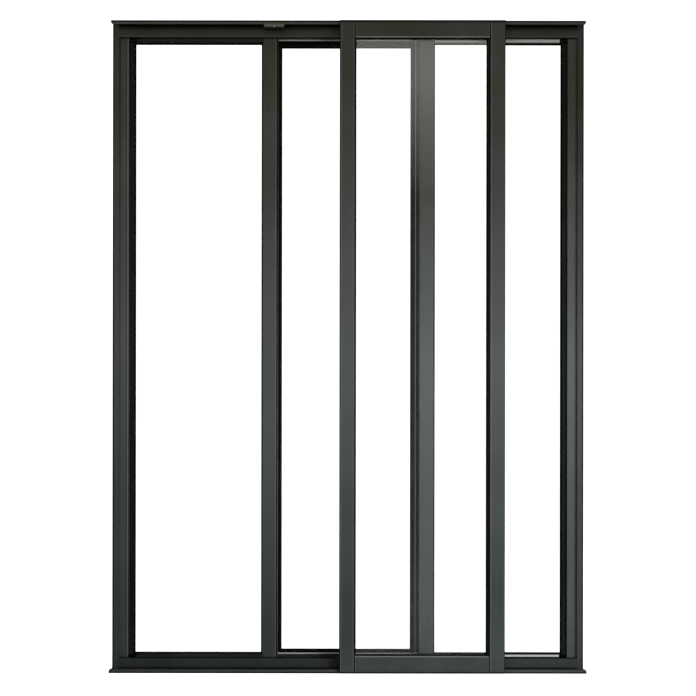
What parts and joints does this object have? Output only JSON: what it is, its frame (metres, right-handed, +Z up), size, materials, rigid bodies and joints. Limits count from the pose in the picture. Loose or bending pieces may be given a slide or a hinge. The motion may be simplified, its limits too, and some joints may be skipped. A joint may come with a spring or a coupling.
{
  "type": "sliding glass partition wall",
  "caption": "Full-height glass partition wall in a slim dark aluminium frame: fixed side panes, one glazed leaf sliding behind them and one sliding in front.",
  "frame": {"origin": "middle of the sill's underside, at the centre of its length and depth", "axes": "+Z up, +X along the wall, +Y from the front to the rear"},
  "size_m": [1.61, 0.1269, 2.2],
  "materials": {
    "dark_aluminium": "dark satin coating",
    "clear_glass": "clear float",
    "black_gasket": "matt",
    "black_plastic": "matt moulded",
    "plain_steel": "bright"
  },
  "bodies": {
    "frame": {"head_track": "dark_aluminium", "left_jamb": "dark_aluminium", "left_leaf_bead": "dark_aluminium", "left_leaf_bottom_rail": "dark_aluminium", "left_leaf_gasket": "black_gasket", "left_leaf_glass": "clear_glass", "left_leaf_left_stile": "dark_aluminium", "left_leaf_packers": "black_plastic", "left_leaf_right_stile": "dark_aluminium", "left_leaf_top_rail": "dark_aluminium", "right_jamb": "dark_aluminium", "right_leaf_bead": "dark_aluminium", "right_leaf_bottom_rail": "dark_aluminium", "right_leaf_gasket": "black_gasket", "right_leaf_glass": "clear_glass", "right_leaf_left_stile": "dark_aluminium", "right_leaf_packers": "black_plastic", "right_leaf_right_stile": "dark_aluminium", "right_leaf_top_rail": "dark_aluminium", "sill_track": "dark_aluminium", "stop_screw": "plain_steel", "track_stop": "dark_aluminium"},
    "rear_leaf": {"rear_leaf_axles": "plain_steel", "rear_leaf_bottom_rail": "dark_aluminium", "rear_leaf_carriers": "black_plastic", "rear_leaf_gasket": "black_gasket", "rear_leaf_glass": "clear_glass", "rear_leaf_guides": "black_plastic", "rear_leaf_left_stile": "dark_aluminium", "rear_leaf_right_stile": "dark_aluminium", "rear_leaf_top_rail": "dark_aluminium", "rear_leaf_wheels": "black_plastic"},
    "front_leaf": {"front_leaf_axles": "plain_steel", "front_leaf_bead": "dark_aluminium", "front_leaf_bottom_rail": "dark_aluminium", "front_leaf_carriers": "black_plastic", "front_leaf_gasket": "black_gasket", "front_leaf_glass": "clear_glass", "front_leaf_guides": "black_plastic", "front_leaf_left_stile": "dark_aluminium", "front_leaf_right_stile": "dark_aluminium", "front_leaf_top_rail": "dark_aluminium", "front_leaf_wheels": "black_plastic"}
  },
  "joints": [
    {"name": "rear_leaf_slide", "type": "slide", "parent": "frame", "child": "rear_leaf", "axis": [1, 0, 0], "range_m": [-0.507, 0.521]},
    {"name": "front_leaf_slide", "type": "slide", "parent": "frame", "child": "front_leaf", "axis": [1, 0, 0], "range_m": [-0.183, 0.27]}
  ]
}
